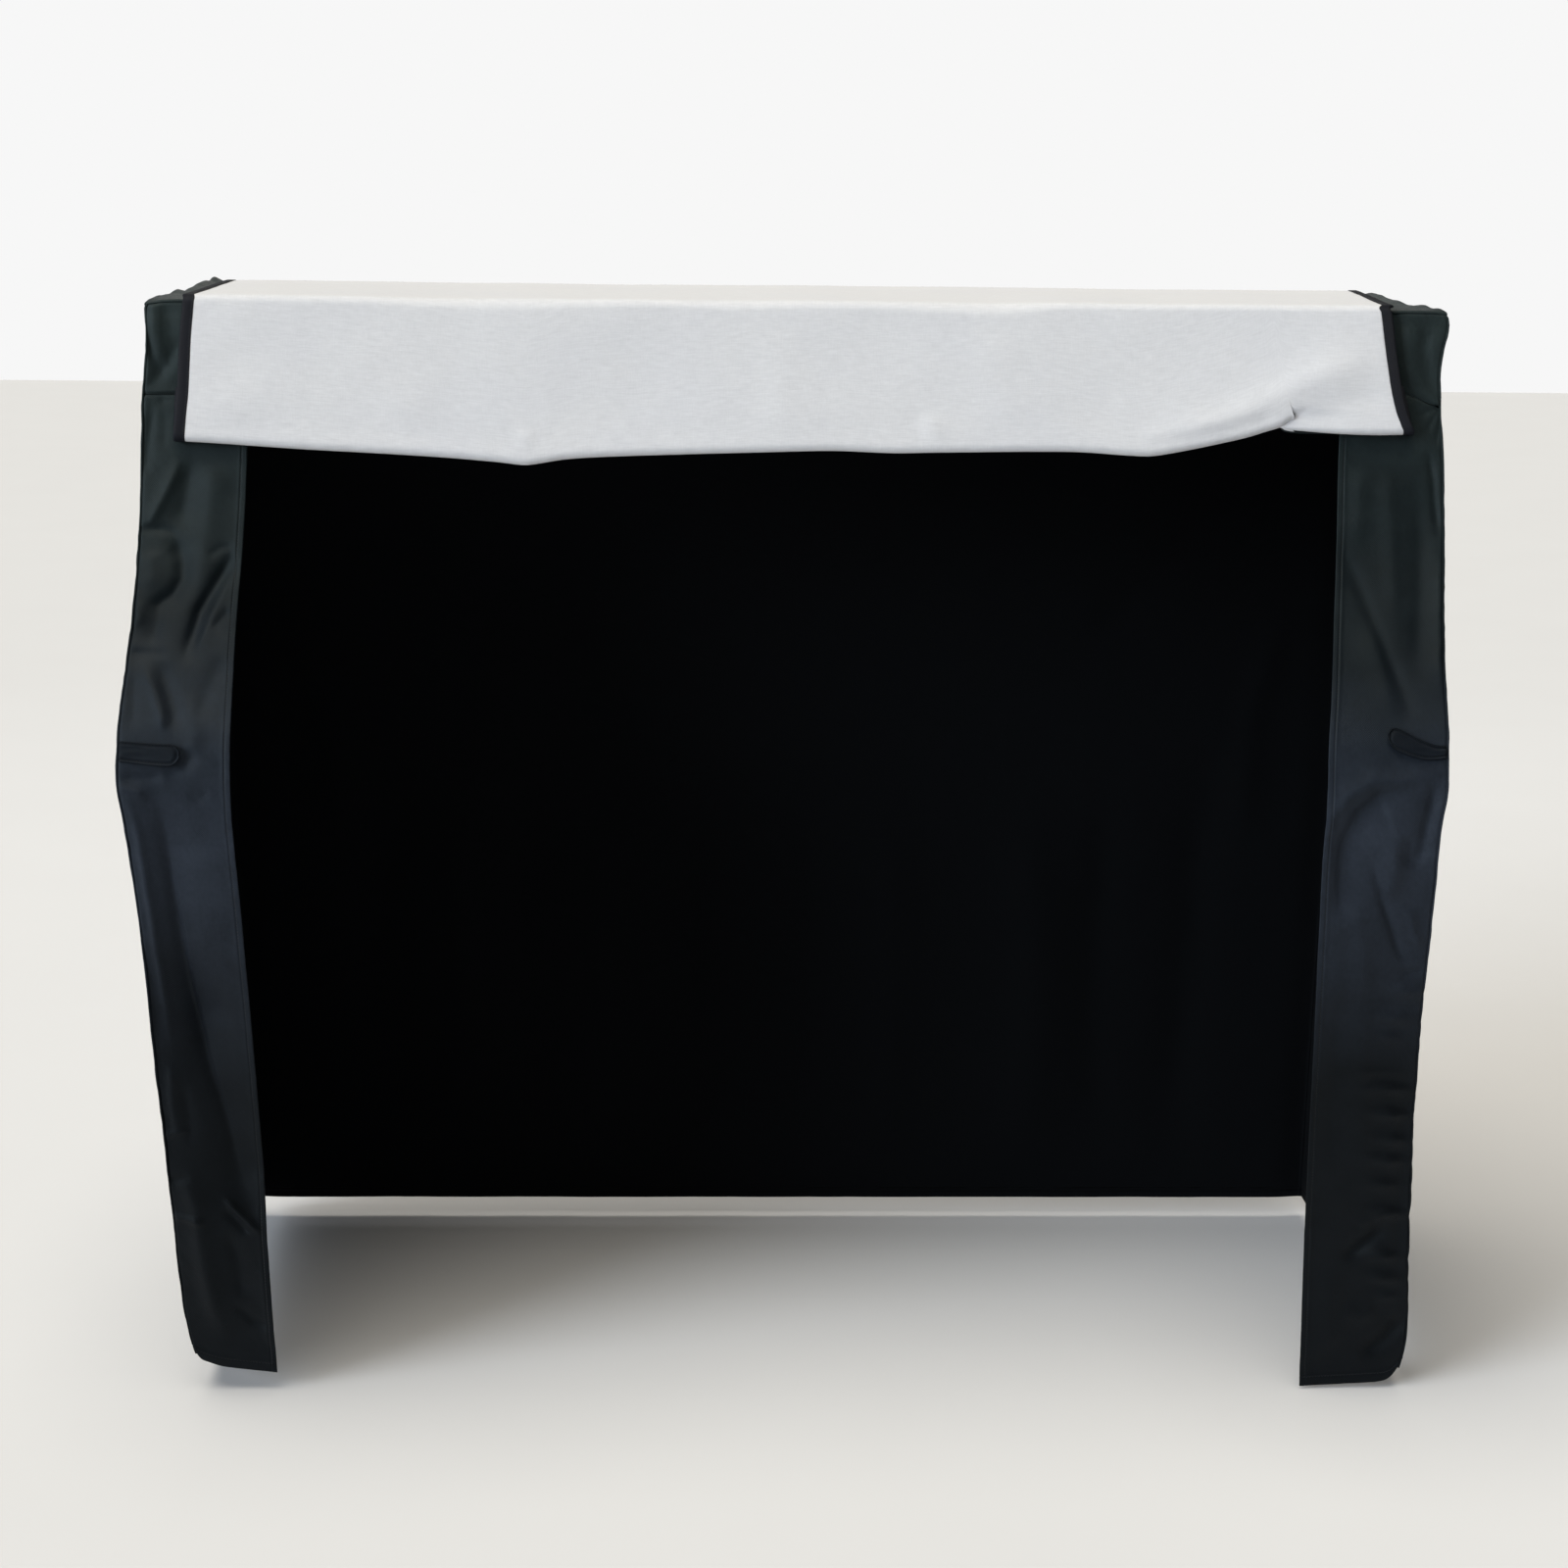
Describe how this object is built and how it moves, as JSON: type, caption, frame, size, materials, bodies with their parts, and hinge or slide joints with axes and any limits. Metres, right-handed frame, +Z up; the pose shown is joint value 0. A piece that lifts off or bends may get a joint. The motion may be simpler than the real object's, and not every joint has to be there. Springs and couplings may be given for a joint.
{
  "type": "piano cover",
  "caption": "Fitted black cloth cover for an upright piano, open at the front between hemmed strips, with its front flap thrown back over the top so that the pale lining shows.",
  "frame": {"origin": "middle of the top panel's underside, where the cover rests on the piano", "axes": "+X along the keyboard to the player's right, +Y towards the back, +Z up"},
  "size_m": [1.5335, 0.6314, 1.2987],
  "materials": {
    "black_cloth": "black cloth with a soft satin face and a fine dotted weave",
    "pale_lining": "matt pale grey linen-like lining",
    "dark_binding": "matt blue-black edge tape"
  },
  "bodies": {
    "root": {"top_panel": "black_cloth", "yoke": "black_cloth", "back_panel": "black_cloth", "side_left": "black_cloth", "side_right": "black_cloth", "strip_left": "black_cloth", "strip_right": "black_cloth", "tab_left": "black_cloth", "tab_right": "black_cloth", "flap_cloth": "black_cloth", "flap_lining": "pale_lining", "binding_left": "dark_binding", "binding_right": "dark_binding"}
  },
  "joints": []
}
